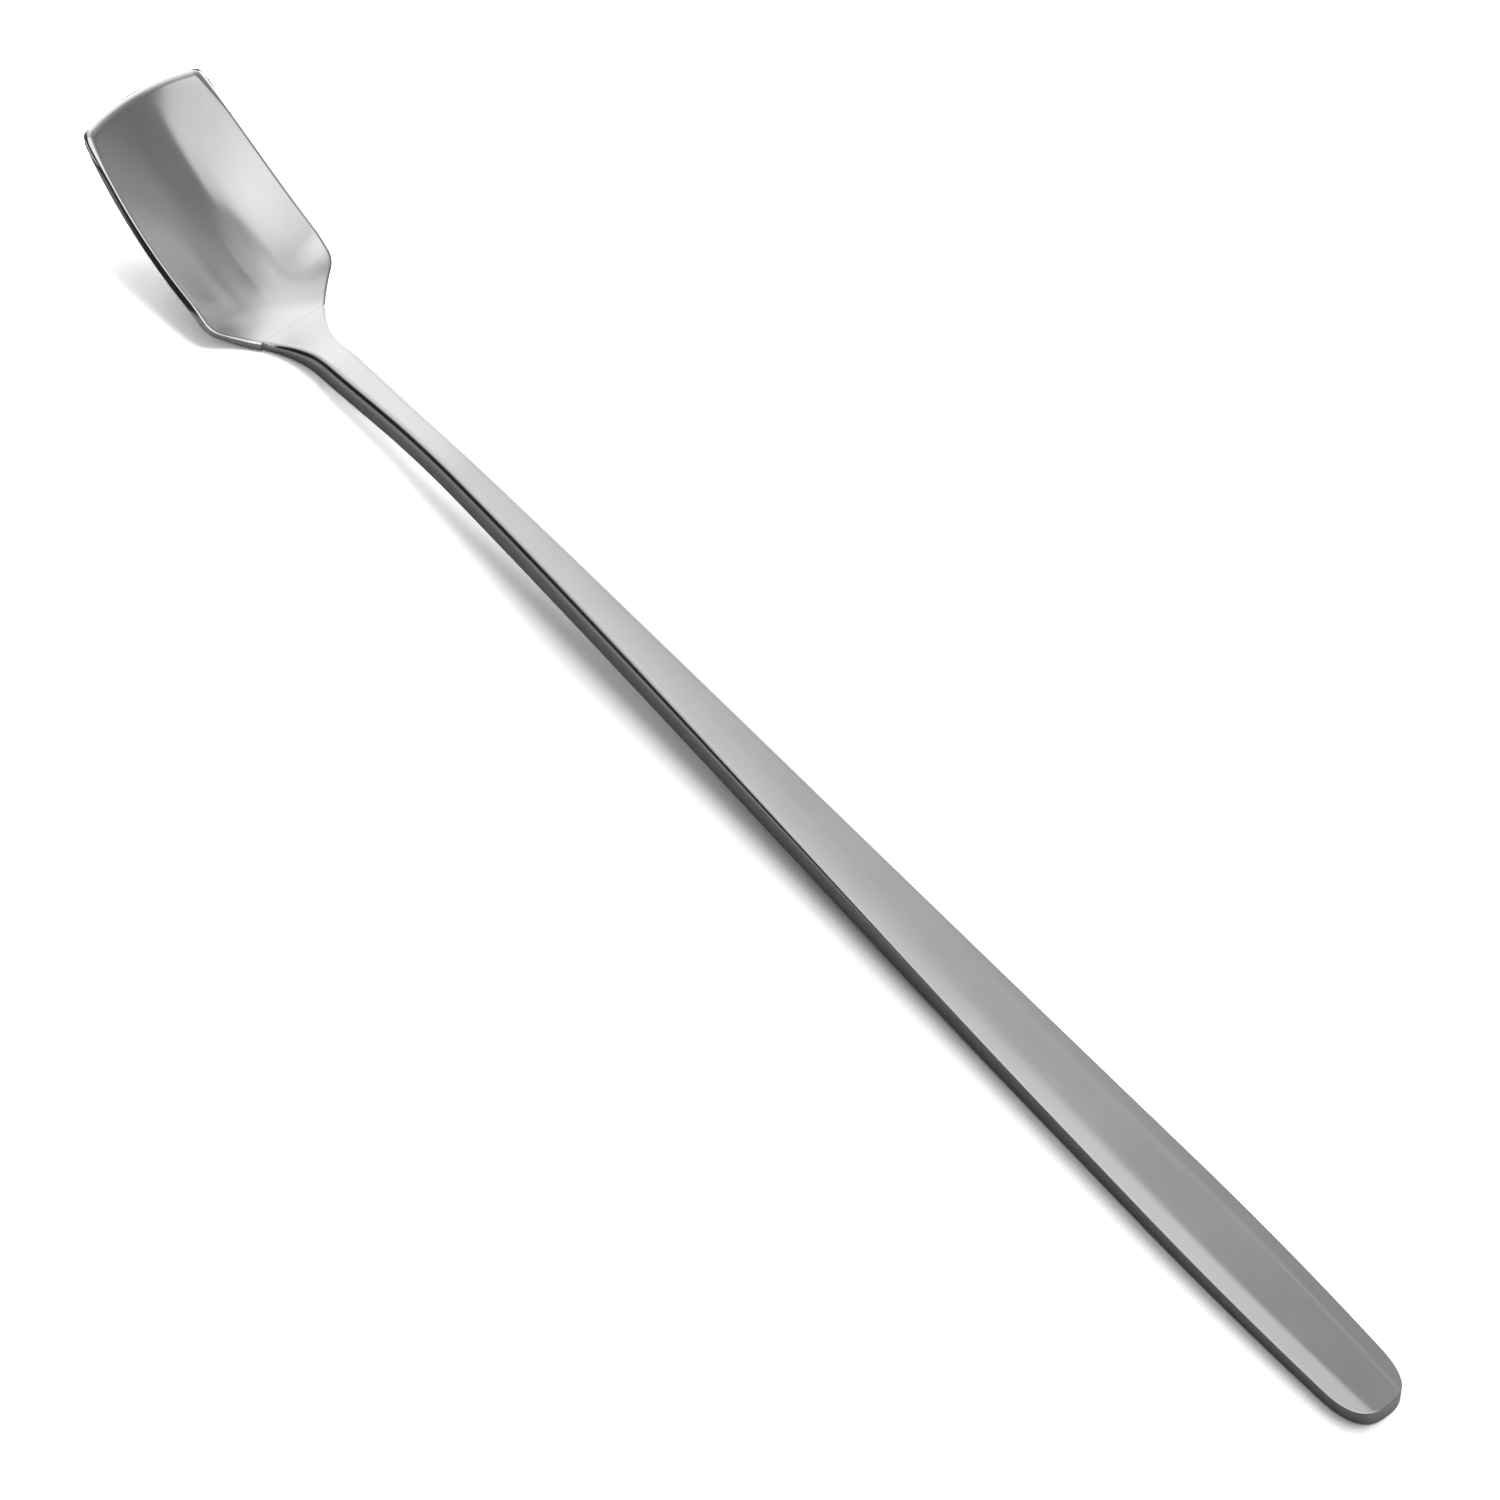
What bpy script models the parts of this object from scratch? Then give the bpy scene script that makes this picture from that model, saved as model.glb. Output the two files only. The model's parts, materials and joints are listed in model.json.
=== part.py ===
"""Tasting spoon: a pressed scoop-shaped bowl butt-welded to a long tapering handle bar.

All sizes are in metres. X runs along the spoon from the bowl's lip to the handle's end, Y across it and Z up.
The origin is under the middle of the spoon's length, on the table that it lies on.
"""

import math

import bmesh
import bpy

# Whole spoon
LENGTH = 0.2500
LIP_X = -LENGTH / 2
END_X = LENGTH / 2

# Butt weld between the two pieces, at the narrow neck behind the bowl
BOWL_LENGTH = 0.0348
WELD_GAP = 0.0003
TRIM_STOCK = 0.0020
WELD_X = LIP_X + BOWL_LENGTH

# Handle seen from above: a slim shaft that widens steadily, with flanks that turn in to a blunt round end
SHAFT_HALF = 0.00223
WAIST_FROM_WELD = 0.0282
NECK_FLARE = 0.00032
TAPER_FROM_WELD = 0.0332
TAPER = 0.0196
TAPER_SOFTENING = 0.0060
FLANK_FROM_END = 0.0399
FLANK_RADIUS = 0.5760
CAP_LENGTH = 0.00713
CAP_POWER = 2.8
WAIST_X = WELD_X + WAIST_FROM_WELD
TAPER_X = WELD_X + TAPER_FROM_WELD
FLANK_X = END_X - FLANK_FROM_END

# Handle seen from the side: an arched underside that lies flat on the table near the end
HEEL_FROM_WELD = 0.0065
CREST_FROM_WELD = 0.0384
CREST_RISE = 0.00314
LANDING_FROM_END = 0.0526
HEEL_X = WELD_X - HEEL_FROM_WELD
CREST_X = WELD_X + CREST_FROM_WELD
LANDING_X = END_X - LANDING_FROM_END

# Thickness of the bar: it steps up from sheet at the weld and thins towards the end, under a crowned top
NECK_SHEET = 0.00165
NECK_THICK = 0.00352
END_THICK = 0.00232
STEP_LENGTH = 0.0101
THINNING_FROM_WELD = 0.0422
THINNING_POWER = 4.14
CROWN = 0.00054
CROWN_FROM_WELD = 0.0022
CROWN_LENGTH = 0.0600
HANDLE_EDGE_ROUND = 0.00035
THINNING_X = WELD_X + THINNING_FROM_WELD
CROWN_X = WELD_X + CROWN_FROM_WELD

# Top of the bar across its width: a soft crown near the neck, then a flat middle between sloping edge bands
CROWN_FLATNESS = 12.0
BAND_WIDTH = 0.00205
BAND_SOFTENING = 0.00024
BAND_FROM_WELD = 0.0880
BAND_LENGTH = 0.1100
BAND_X = WELD_X + BAND_FROM_WELD

# Bowl seen from above: a concave neck arc, tangent shoulders, straight sides and a curved lip
NECK_ARC_FROM_WELD = 0.00885
NECK_RADIUS = 0.01543
SHOULDER_RADIUS = 0.00225
SHOULDER_HALF = 0.01040
SIDE_SWELL = 0.00016
FRONT_DRAW = 0.00102
CORNER_ROUND = 0.00150
CORNER_RUN = 0.00130
LIP_BULGE = 0.00223
LIP_OVERHANG = 0.00074
NECK_HALF = SHAFT_HALF + NECK_FLARE
NECK_ARC_X = WELD_X + NECK_ARC_FROM_WELD
ARC_CENTRES_APART = NECK_RADIUS + SHOULDER_RADIUS
SHOULDER_RUN = math.sqrt(ARC_CENTRES_APART**2 - (NECK_HALF + ARC_CENTRES_APART - SHOULDER_HALF) ** 2)
SHOULDER_X = NECK_ARC_X - SHOULDER_RUN
TANGENT_X = SHOULDER_X + SHOULDER_RUN * SHOULDER_RADIUS / ARC_CENTRES_APART
INNER_LIP_X = LIP_X + LIP_OVERHANG
CORNER_X = INNER_LIP_X + LIP_BULGE

# Bowl seen from the side: the rim sweeps up from the neck on a large radius, and the floor climbs to the lip
SHEET = 0.0012
RIM_BACK_Z = 0.00522
RIM_SLOPE = 0.0347
RIM_RADIUS = 0.0278
RIM_ARCH = 0.00105
RIM_ROUND = 0.00042
FLOOR_FROM_WELD = 0.00463
FLOOR_POWER = 2.012
RUNOUT_FROM_WELD = 0.00279
FLOOR_X = WELD_X - FLOOR_FROM_WELD
RUNOUT_X = WELD_X + RUNOUT_FROM_WELD

# Bowl's cross-section: a flat floor that narrows towards the front, between straight walls with a soft foot
WALL_FROM_WELD = 0.00098
WALL_LENGTH = 0.00897
FOOT_BACK = 0.367
FOOT_FRONT = 0.188
FOOT_LENGTH = 0.0288
FILLET = 0.163
WALL_X = WELD_X + WALL_FROM_WELD

# Mesh fineness: rows lie closer where the outline turns, as if each radian of turn were this much longer,
# and the outermost columns are wider than the rounding of the edges
TURN_LENGTH = 0.001
EDGE_COLUMN = 0.00062
BOWL_ROWS = 44
BOWL_COLUMNS = 26
HANDLE_ROWS = 88
HANDLE_COLUMNS = 18

STEEL = (0.58, 0.58, 0.58, 1.0)
STEEL_ROUGHNESS = 0.28


def ease(t):
    """Runs from 0 to 1 with level ends, as t runs from 0 to 1."""
    t = min(max(t, 0.0), 1.0)
    return t * t * (3.0 - 2.0 * t)


def bow(t):
    """A bow that is 0 at t = 0 and t = 1 and 1 halfway."""
    return 4.0 * t * (1.0 - t) if 0.0 < t < 1.0 else 0.0


def underside(x):
    """Height of the underside at the station x: an arch between the heel and the handle's flat landing."""
    if x > CREST_X:
        rise = (LANDING_X - x) / (LANDING_X - CREST_X)
    else:
        rise = (x - HEEL_X) / (CREST_X - HEEL_X)
    return CREST_RISE * ease(rise)


def bar_thickness(x):
    """Thickness at the edge of the bar: it steps up from sheet at the weld, then thins towards the end."""
    step = ease((x - WELD_X) / STEP_LENGTH)
    along = min(max((x - THINNING_X) / (END_X - THINNING_X), 0.0), 1.0)
    thinning = (NECK_THICK - END_THICK) * along**THINNING_POWER
    return NECK_SHEET + (NECK_THICK - NECK_SHEET) * step - thinning


def shaft_half_width(x):
    """Half width of the handle without its round end."""
    past = x - TAPER_X
    width = SHAFT_HALF + TAPER * 0.5 * (past + math.hypot(past, TAPER_SOFTENING))
    width -= max(x - FLANK_X, 0.0) ** 2 / (2.0 * FLANK_RADIUS)
    return width + NECK_FLARE * ease((WAIST_X - x) / (WAIST_X - NECK_ARC_X))


def cap_x(across, full):
    """X of the blunt round end at the distance across from the middle, where the half width is full."""
    inset = 1.0 - (1.0 - (across / full) ** CAP_POWER) ** (1.0 / CAP_POWER)
    return END_X - CAP_LENGTH * inset


def half_width(x):
    """Half width of the spoon seen from above, from the end cap's shoulder to the bowl's front corners."""
    if x > NECK_ARC_X:
        into_cap = max(x - (END_X - CAP_LENGTH), 0.0) / CAP_LENGTH
        return shaft_half_width(x) * (1.0 - into_cap**CAP_POWER) ** (1.0 / CAP_POWER)
    if x <= SHOULDER_X:
        along = (SHOULDER_X - x) / (SHOULDER_X - CORNER_X)
        side = SHOULDER_HALF + SIDE_SWELL * bow(along) - FRONT_DRAW * along**4
        into_corner = max(CORNER_RUN - (x - CORNER_X), 0.0)
        return side - CORNER_ROUND + math.sqrt(CORNER_ROUND**2 - into_corner**2)
    if x > TANGENT_X:
        reach = NECK_ARC_X - x
        return shaft_half_width(x) + NECK_RADIUS - math.sqrt(NECK_RADIUS**2 - reach**2)
    back = x - SHOULDER_X
    return SHOULDER_HALF - SHOULDER_RADIUS + math.sqrt(SHOULDER_RADIUS**2 - back**2)


def rim_height(x):
    """Height of the bowl's rim: nearly level behind the shoulders, and an upward sweep ahead of them."""
    ahead = SHOULDER_X - x
    arch = RIM_ARCH * bow(ahead / (SHOULDER_X - CORNER_X))
    return RIM_BACK_Z + RIM_SLOPE * ahead + ahead**2 / (2.0 * RIM_RADIUS) + arch


def crown_height(x):
    """How far the middle of the bar's top face stands above its edges."""
    return CROWN * ease((x - CROWN_X) / CROWN_LENGTH)


def middle_height(x):
    """Height of the top face on the centre line: the bowl's floor, running out over the neck to the bar."""
    climb = max((FLOOR_X - x) / (FLOOR_X - INNER_LIP_X), 0.0)
    floor = SHEET + (rim_height(CORNER_X) - SHEET) * climb**FLOOR_POWER
    bar = underside(x) + bar_thickness(x) + crown_height(x)
    return floor + (bar - floor) * ease((x - FLOOR_X) / (RUNOUT_X - FLOOR_X))


def soft_ramp(t, foot, softening):
    """Share of the rise at t from 0 to 1 of a straight ramp with a rounded foot."""

    def ramp(u):
        return u - foot + math.hypot(u - foot, softening)

    return (ramp(t) - ramp(0.0)) / (ramp(1.0) - ramp(0.0))


def wall_rise(x, across):
    """Rise of the bowl's walls above its floor, which fades over the neck, at across from 0 to 1."""
    foot = FOOT_BACK + (FOOT_FRONT - FOOT_BACK) * ease((SHOULDER_X - x) / FOOT_LENGTH)
    return soft_ramp(across, foot, FILLET) * ease((WALL_X - x) / WALL_LENGTH)


def crown_drop(x, across):
    """Share of the crown's drop at across from 0 to 1 of the bar's half width."""
    crowned = (across**2 + CROWN_FLATNESS * across**4) / (1.0 + CROWN_FLATNESS)
    clear = ease((x - BAND_X) / BAND_LENGTH)
    half = shaft_half_width(x)
    softening = BAND_SOFTENING + (1.0 - clear) * BAND_WIDTH
    band = soft_ramp(across, 1.0 - BAND_WIDTH / half, softening / half)
    return crowned + (band - crowned) * clear


def top_height(x, y):
    """Height of the top face behind the shoulders, where the neck's outline cuts the bowl's walls off."""
    middle = middle_height(x)
    wall = (rim_height(x) - middle) * wall_rise(x, abs(y) / half_width(min(x, SHOULDER_X)))
    half = shaft_half_width(x) if x > NECK_ARC_X else half_width(x)
    return middle + wall - crown_height(x) * crown_drop(x, min(abs(y) / half, 1.0))


def bowl_point(x, across):
    """Point of the bowl's inner face on the row that has its sides at x and its middle nearer the lip."""
    y = half_width(x) * across
    if x > SHOULDER_X:
        return (x, y, top_height(x, y))
    forward = min((SHOULDER_X - x) / (SHOULDER_X - CORNER_X), 1.0)
    shift = -LIP_BULGE * forward**3
    middle = middle_height(x + shift)
    wall = (rim_height(x) - middle) * wall_rise(x, abs(across))
    return (x + shift * (1.0 - across**2), y, middle + wall)


def even_stations(first, last, count):
    """Stations along X from first to last that divide the outline evenly, with more where it turns."""
    steps = 2000
    xs = [first + (last - first) * i / steps for i in range(steps + 1)]
    widths = [half_width(x) for x in xs]
    run = [0.0]
    heading = None
    for i in range(steps):
        along = abs(xs[i + 1] - xs[i])
        turned = math.atan2(widths[i + 1] - widths[i], along)
        turn = 0.0 if heading is None else abs(turned - heading)
        heading = turned
        run.append(run[-1] + math.hypot(along, widths[i + 1] - widths[i]) + TURN_LENGTH * turn)
    stations = []
    at = 0
    for i in range(count + 1):
        wanted = run[-1] * i / count
        while run[at + 1] < wanted and at + 2 < len(run):
            at += 1
        share = (wanted - run[at]) / (run[at + 1] - run[at])
        stations.append(xs[at] + (xs[at + 1] - xs[at]) * share)
    return stations


def placed_grid(stations, columns, place):
    """A grid of quads put at place(x, across), across from -1 to 1, with a narrow column along each edge."""
    rows = len(stations) - 1
    bm = bmesh.new()
    bmesh.ops.create_grid(bm, x_segments=rows, y_segments=columns, size=1.0)
    for vert in bm.verts:
        x = stations[round((vert.co.x + 1.0) / 2.0 * rows)]
        column = round((vert.co.y + 1.0) / 2.0 * columns)
        side = (2 * column - columns) / (columns - 2)
        inner = side * (1.0 - EDGE_COLUMN / half_width(x))
        vert.co = place(x, inner if abs(side) <= 1.0 else math.copysign(1.0, side))
    return bm


def new_object(name, bm, collection, material, parent):
    """A smooth-shaded object made from the bmesh, with its origin at the weld."""
    joint = (WELD_X, 0.0, underside(WELD_X))
    bmesh.ops.translate(bm, verts=bm.verts, vec=[-c for c in joint])
    mesh = bpy.data.meshes.new(name)
    bm.to_mesh(mesh)
    bm.free()
    mesh.shade_smooth()
    mesh.set_sharp_from_angle(angle=math.radians(50.0))
    mesh.materials.append(material)
    obj = bpy.data.objects.new(name, mesh)
    obj.location = joint
    obj.parent = parent
    collection.objects.link(obj)
    return obj


def new_collection(name):
    collection = bpy.data.collections.new(name)
    bpy.context.scene.collection.children.link(collection)
    return collection


def steel(name):
    material = bpy.data.materials.new(name)
    material.use_nodes = True
    shader = material.node_tree.nodes["Principled BSDF"]
    shader.inputs["Base Color"].default_value = STEEL
    shader.inputs["Metallic"].default_value = 1.0
    shader.inputs["Roughness"].default_value = STEEL_ROUGHNESS
    return material


def round_edges(obj, width, segments):
    bevel = obj.modifiers.new("rounded_edges", "BEVEL")
    bevel.width = width
    bevel.segments = segments
    bevel.limit_method = "ANGLE"
    bevel.angle_limit = math.radians(50.0)
    bevel.use_clamp_overlap = False


def trim_at_weld(obj, side, cutters):
    """Cuts the stock beyond the weld face off with a block on the given side of it, -1 or 1 along X."""
    size = 0.040
    bm = bmesh.new()
    bmesh.ops.create_cube(bm, size=size)
    mesh = bpy.data.meshes.new(obj.name + "_trim")
    bm.to_mesh(mesh)
    bm.free()
    block = bpy.data.objects.new(obj.name + "_trim", mesh)
    block.location = (WELD_X + side * (size - WELD_GAP) / 2.0, 0.0, 0.0)
    block.hide_render = True
    block.display_type = "WIRE"
    cutters.objects.link(block)
    cut = obj.modifiers.new("weld_face", "BOOLEAN")
    cut.operation = "DIFFERENCE"
    cut.solver = "EXACT"
    cut.object = block


def sheet_thickness(point):
    """Thickness of the bowl's sheet at a point measured from the weld: it swells to the bar's own there."""
    x = point.x + WELD_X
    at_weld = top_height(WELD_X, point.y) - underside(WELD_X)
    return SHEET + (at_weld - SHEET) * ease((x - FLOOR_X) / (WELD_X - FLOOR_X))


def make_bowl(collection, cutters, parent):
    stations = even_stations(CORNER_X, WELD_X + TRIM_STOCK, BOWL_ROWS)
    face = placed_grid(stations, BOWL_COLUMNS, bowl_point)
    bowl = new_object("bowl", face, collection, steel("bowl_steel"), parent)
    wall = bowl.vertex_groups.new(name="wall")
    for vert in bowl.data.vertices:
        wall.add([vert.index], sheet_thickness(vert.co) / NECK_SHEET, "REPLACE")
    shell = bowl.modifiers.new("pressed_shell", "SOLIDIFY")
    shell.thickness = NECK_SHEET
    shell.offset = -1.0
    shell.use_even_offset = True
    shell.vertex_group = wall.name
    round_edges(bowl, RIM_ROUND, 2)
    trim_at_weld(bowl, 1.0, cutters)
    return bowl


def make_handle(collection, cutters, parent):
    turn = 0.5 ** (1.0 / CAP_POWER)
    last = END_X - CAP_LENGTH * (1.0 - turn)
    stations = even_stations(WELD_X - TRIM_STOCK, last, HANDLE_ROWS)
    half_end = half_width(last)
    full_end = half_end / turn
    bulge = END_X - last
    morph = 6.0 * half_end

    def place(x, across):
        bend = ease((x - (last - morph)) / morph)
        rounding = (cap_x(half_end * abs(across), full_end) - last) / bulge
        at = x + bulge * bend * rounding
        y = half_width(x) * across
        return (at, y, top_height(at, y))

    bm = placed_grid(stations, HANDLE_COLUMNS, place)
    lower = bmesh.ops.extrude_face_region(bm, geom=bm.faces[:])["geom"]
    for vert in lower:
        if isinstance(vert, bmesh.types.BMVert):
            vert.co.z = underside(vert.co.x)
    bmesh.ops.recalc_face_normals(bm, faces=bm.faces)
    handle = new_object("handle", bm, collection, steel("handle_steel"), parent)
    round_edges(handle, HANDLE_EDGE_ROUND, 3)
    trim_at_weld(handle, -1.0, cutters)
    return handle


def main():
    for obj in list(bpy.data.objects):
        bpy.data.objects.remove(obj)
    parts = new_collection("tasting_spoon")
    cutters = new_collection("cutters")
    origin = bpy.data.objects.new("spoon_origin", None)
    parts.objects.link(origin)
    make_bowl(parts, cutters, origin)
    make_handle(parts, cutters, origin)


if __name__ == "__main__":
    main()
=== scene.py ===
"""Tasting spoon: a pressed scoop bowl and a long arched handle in satin steel, on a pale studio floor.

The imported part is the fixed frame. The bowl and the handle are made again here with fine meshes, rounded
arrises and a satin finish. All lengths are in metres. X runs from the bowl's lip to the handle's end, Y across,
Z up.
"""

import json
import math

import bmesh
import bpy
from bpy.props import FloatProperty, FloatVectorProperty, IntProperty, PointerProperty
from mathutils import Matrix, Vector


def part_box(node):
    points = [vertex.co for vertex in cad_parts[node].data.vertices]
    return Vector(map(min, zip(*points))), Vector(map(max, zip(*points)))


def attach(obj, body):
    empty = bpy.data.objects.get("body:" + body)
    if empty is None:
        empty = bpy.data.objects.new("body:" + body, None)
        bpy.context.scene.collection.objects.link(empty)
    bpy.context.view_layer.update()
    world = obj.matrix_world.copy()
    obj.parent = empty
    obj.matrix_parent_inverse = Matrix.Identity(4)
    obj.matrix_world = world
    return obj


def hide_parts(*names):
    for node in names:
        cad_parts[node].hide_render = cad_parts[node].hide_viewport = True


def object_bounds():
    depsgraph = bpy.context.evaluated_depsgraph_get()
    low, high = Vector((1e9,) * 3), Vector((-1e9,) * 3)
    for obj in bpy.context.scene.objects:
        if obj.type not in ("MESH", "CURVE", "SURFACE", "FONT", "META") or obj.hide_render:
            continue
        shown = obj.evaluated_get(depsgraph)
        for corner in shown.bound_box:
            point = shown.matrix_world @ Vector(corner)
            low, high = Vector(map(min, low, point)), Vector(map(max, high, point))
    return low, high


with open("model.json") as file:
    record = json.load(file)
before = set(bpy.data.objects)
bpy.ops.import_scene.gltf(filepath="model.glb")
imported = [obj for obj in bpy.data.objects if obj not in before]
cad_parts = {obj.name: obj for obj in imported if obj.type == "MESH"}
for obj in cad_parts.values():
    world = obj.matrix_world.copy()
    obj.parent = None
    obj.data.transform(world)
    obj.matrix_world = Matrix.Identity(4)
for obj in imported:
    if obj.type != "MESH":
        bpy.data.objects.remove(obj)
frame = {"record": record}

CAD_BOX = [list(corner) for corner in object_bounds()]
BOWL_LOW, BOWL_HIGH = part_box("bowl")
HANDLE_LOW, HANDLE_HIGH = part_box("handle")
STEEL_COLOUR = frame["record"]["materials"][0]["base_color"]

OUTLINE_STEPS = 4000
SHARP_EDGE = math.radians(40.0)
EDGE_WEAR = 0.0006
UNDER_FLOOR = 0.00001
# The dark card of painted shade lies a hair above the floor.
UNDER_PAINTED_SHADE = 0.000005
CLOUD_SCALE = (90.0, 160.0, 160.0)
TONE_SPREAD = 0.35
BUMP_STRENGTH = 0.35
DULL, BRIGHT, WORN = 0.965, 1.035, 1.08

# The light tent's even light, its least light, and its back panel: the level, and the soft edges in degrees of
# the two sides and of the top.
TENT_ROOM = 0.204
TENT_LEAST = 0.02
PANEL_LEVEL = 0.755
PANEL_NEAR = (-140.0, -128.72)
PANEL_FAR = (62.37, -49.58)
PANEL_TOP = (72.12, 64.03)
# Soft round patches of the tent: azimuth to the right of straight away from the camera, elevation, radius of the
# even middle and width of the soft edge, all in degrees, and the light that the patch adds or takes away.
TENT_PATCHES = (
    (94.72, 49.64, 38.0, 18.0, -0.34),
    (158.26, 12.44, 27.78, 50.11, 0.41),
    (-9.08, 7.67, 1.03, 42.84, 0.81),
    (-129.0, 3.85, 10.21, 18.64, -0.62),
    (-135.89, 28.62, 18.67, 20.73, 0.4),
    (35.22, 26.93, 0.0, 16.0, 0.04),
    (-126.71, 86.43, 1.09, 27.35, 0.36),
    (13.54, 32.07, 23.89, 62.85, 0.59),
    (13.76, 14.93, 21.0, 14.0, -0.23),
    (-34.28, 48.86, 6.0, 24.0, 0.35),
    (22.0, 54.0, 0.0, 16.0, 0.08),
    (40.0, 35.5, 2.0, 8.0, -0.06),
    (-66.0, 80.0, 3.0, 8.0, 0.10),
    (26.0, 63.5, 2.0, 8.0, -0.12),
)
# The tent's dark flag in the same words, and the share of the light that it takes away.
TENT_FLAG = (-92.0, 8.0, 29.0, 7.0)
FLAG_DEPTH = 0.98

bl_info = {
    "name": "Tasting Spoon",
    "version": (1, 0, 0),
    "blender": (4, 5, 0),
    "location": "View3D > Sidebar > Spoon",
    "description": "Makes a satin steel tasting spoon on a pale studio floor",
    "category": "Add Mesh",
}


def length(name, description, default):
    """A length in metres that a user may change."""
    return FloatProperty(name=name, description=description, default=default, precision=5, unit="LENGTH")


def ratio(name, description, default):
    """A plain number that a user may change."""
    return FloatProperty(name=name, description=description, default=default, precision=4)


def share(name, description, default):
    """A number from 0 to 1 that a user may change."""
    return FloatProperty(
        name=name, description=description, default=default, min=0.0, max=1.0, subtype="FACTOR"
    )


class SpoonOutline(bpy.types.PropertyGroup):
    """The spoon seen from above."""

    lip_x: length("Lip", "Where the bowl's lip is furthest forward", BOWL_LOW.x)
    end_x: length("End", "Where the handle ends", HANDLE_HIGH.x)
    weld_x: length("Weld", "Where the bowl is butt-welded to the handle", (BOWL_HIGH.x + HANDLE_LOW.x) / 2)
    weld_gap: length("Weld Gap", "Hairline between the two pieces at the weld", 0.00002)
    shaft_half: length("Shaft", "Half width of the slim shaft", 0.00223)
    waist: length("Waist", "From the weld to the narrowest place", 0.0282)
    neck_flare: length("Neck Flare", "How far each side widens again towards the neck", 0.00032)
    taper_from: length("Taper Start", "From the weld to where the handle starts to widen", 0.0332)
    taper: ratio("Taper", "Widening of each side along the handle", 0.0196)
    taper_softening: length("Taper Softening", "How gently the widening starts", 0.0060)
    flank_from_end: length("Flank Start", "From the end to where the flanks turn in", 0.0399)
    flank_radius: length("Flank Radius", "Radius of the flanks near the end", 0.5760)
    cap_length: length("Cap", "Length of the blunt round end", 0.00713)
    cap_power: ratio("Cap Bluntness", "Two is an ellipse, more is blunter", 2.8)
    neck_arc: length("Neck Arc", "From the weld to where the neck's hollow arc starts", 0.00885)
    neck_radius: length("Neck Radius", "Radius of the hollow arc at the neck", 0.01543)
    shoulder_radius: length("Shoulder Radius", "Radius of the bowl's rear corners", 0.00225)
    shoulder_half: length("Shoulder", "Half width of the bowl at its rear corners", 0.01017)
    side_swell: length("Side Swell", "Outward bow of the bowl's sides", 0.00012)
    front_draw: length("Front Draw", "How far each side draws in at the front", 0.00102)
    corner_round: length("Corner Round", "Radius of the bowl's front corners", 0.00150)
    corner_run: length("Corner Run", "Length of the front corners along the sides", 0.00130)
    lip_bulge: length("Lip Bulge", "Forward curve of the lip", 0.00223)
    lip_overhang: length("Lip Overhang", "How far the lip's outer edge stands beyond its inner edge", 0.00084)


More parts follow.
